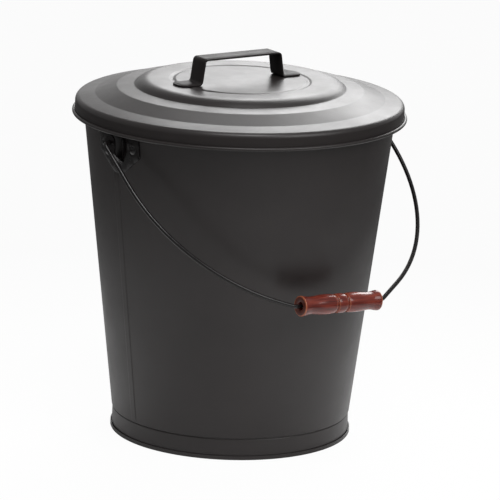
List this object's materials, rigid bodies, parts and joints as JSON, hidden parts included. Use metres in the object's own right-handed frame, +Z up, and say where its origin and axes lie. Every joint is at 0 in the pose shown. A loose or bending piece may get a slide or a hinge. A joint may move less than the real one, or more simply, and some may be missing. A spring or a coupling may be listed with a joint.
{
  "type": "ash bucket",
  "caption": "Round tapered steel ash bucket with a wire bail, turned wooden grip and a stepped lift-off lid with a strap handle.",
  "frame": {"origin": "on the bucket's axis, in the plane of the floor that it stands on", "axes": "+Z up; the two ears lie on the X axis and the bail hangs towards -Y"},
  "size_m": [0.3684, 0.3745, 0.4106],
  "materials": {
    "satin_black": "satin powder coat",
    "gloss_black": "gloss enamel",
    "handle_black": "semi-gloss enamel",
    "lacquered_wood": "red-brown gloss lacquer"
  },
  "bodies": {
    "bucket": {"bucket_wall": "satin_black", "rim_wire": "satin_black", "foot_ring": "satin_black", "bottom_pan": "satin_black", "left_ear": "gloss_black", "left_ear_rivet_front": "gloss_black", "left_ear_rivet_rear": "gloss_black", "left_ear_rivet_lower": "gloss_black", "right_ear": "gloss_black", "right_ear_rivet_front": "gloss_black", "right_ear_rivet_rear": "gloss_black", "right_ear_rivet_lower": "gloss_black"},
    "bail": {"bail_wire": "gloss_black"},
    "grip": {"wood_grip": "lacquered_wood"},
    "lid": {"lid_pan": "satin_black", "lid_rim_wire": "satin_black", "lid_handle": "handle_black"}
  },
  "joints": [
    {"name": "bail_swing", "type": "hinge", "parent": "bucket", "child": "bail", "pos_m": [0, 0, 0.335], "axis": [-1, 0, 0], "range_deg": [-9.2, 270.2]},
    {"name": "grip_spin", "type": "hinge", "parent": "bail", "child": "grip", "pos_m": [-0.01023, -0.18213, 0.17945], "axis": [0.9954, -0.0729, -0.0622], "continuous": true},
    {"name": "lid_lift", "type": "slide", "parent": "bucket", "child": "lid", "axis": [0, 0, 1], "range_m": [0, 0.12]}
  ]
}
